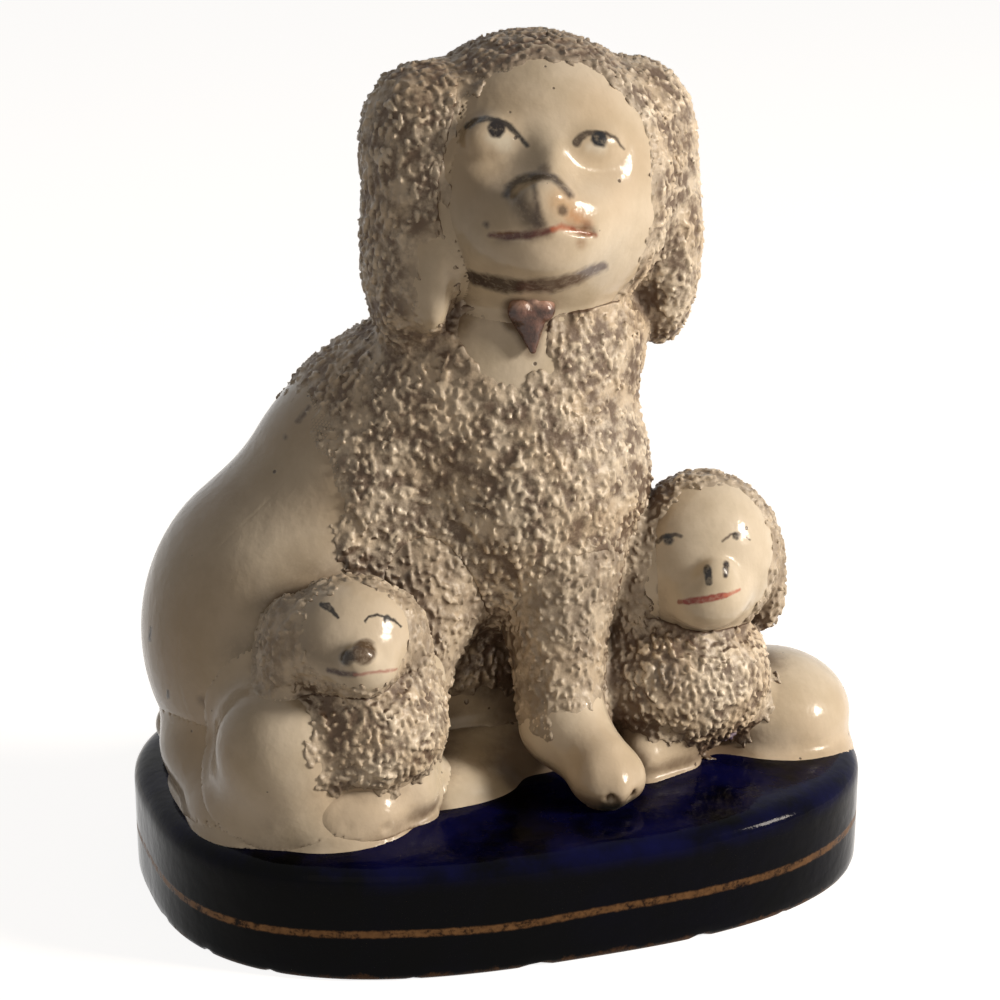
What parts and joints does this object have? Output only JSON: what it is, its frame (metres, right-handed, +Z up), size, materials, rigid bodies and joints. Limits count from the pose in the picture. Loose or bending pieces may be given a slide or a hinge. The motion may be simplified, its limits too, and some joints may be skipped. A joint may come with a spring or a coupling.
{
  "type": "staffordshire dog figure",
  "caption": "Glazed earthenware spaniel seated on an oval plinth with puppies at its feet, coats of shredded clay.",
  "frame": {"origin": "middle of the plinth's underside, on the surface it stands on", "axes": "+Z up, -Y towards the viewer the group faces, +X to that viewer's right"},
  "size_m": [0.0751, 0.055, 0.0871],
  "materials": {
    "white_glaze": "glossy lead glaze, aged and lightly crazed",
    "cobalt_glaze": "glossy cobalt underglaze with a gilt line, worn at the foot",
    "shredded_clay": "shredded clay crust under glaze, dirt in its hollows",
    "brown_enamel": "fired overglaze enamel, semi-gloss",
    "bare_clay": "unglazed earthenware, matt"
  },
  "bodies": {
    "root": {"plinth_shell": "cobalt_glaze", "plinth_floor": "bare_clay", "ground_pad": "white_glaze", "mother_body_front": "white_glaze", "mother_body_back": "white_glaze", "mother_head_front": "white_glaze", "mother_head_back": "white_glaze", "mother_ear_right": "white_glaze", "mother_ear_left": "white_glaze", "mother_foreleg_right": "white_glaze", "mother_foreleg_left": "white_glaze", "mother_hind_foot_right": "white_glaze", "mother_hind_foot_left": "white_glaze", "mother_tail": "white_glaze", "mother_locket": "brown_enamel", "mother_cap_coat": "shredded_clay", "mother_ear_right_coat": "shredded_clay", "mother_ear_left_coat": "shredded_clay", "mother_mane_coat": "shredded_clay", "mother_foreleg_right_coat": "shredded_clay", "mother_foreleg_left_coat": "shredded_clay", "left_puppy_body": "white_glaze", "left_puppy_head": "white_glaze", "left_puppy_ear_right": "shredded_clay", "left_puppy_ear_left": "shredded_clay", "left_puppy_forepaw": "white_glaze", "left_puppy_cap_coat": "shredded_clay", "left_puppy_chest_coat": "shredded_clay", "right_puppy_body": "white_glaze", "right_puppy_head": "white_glaze", "right_puppy_ear_right": "shredded_clay", "right_puppy_ear_left": "shredded_clay", "right_puppy_forepaw": "white_glaze", "right_puppy_cap_coat": "shredded_clay", "right_puppy_chest_coat": "shredded_clay"}
  },
  "joints": []
}
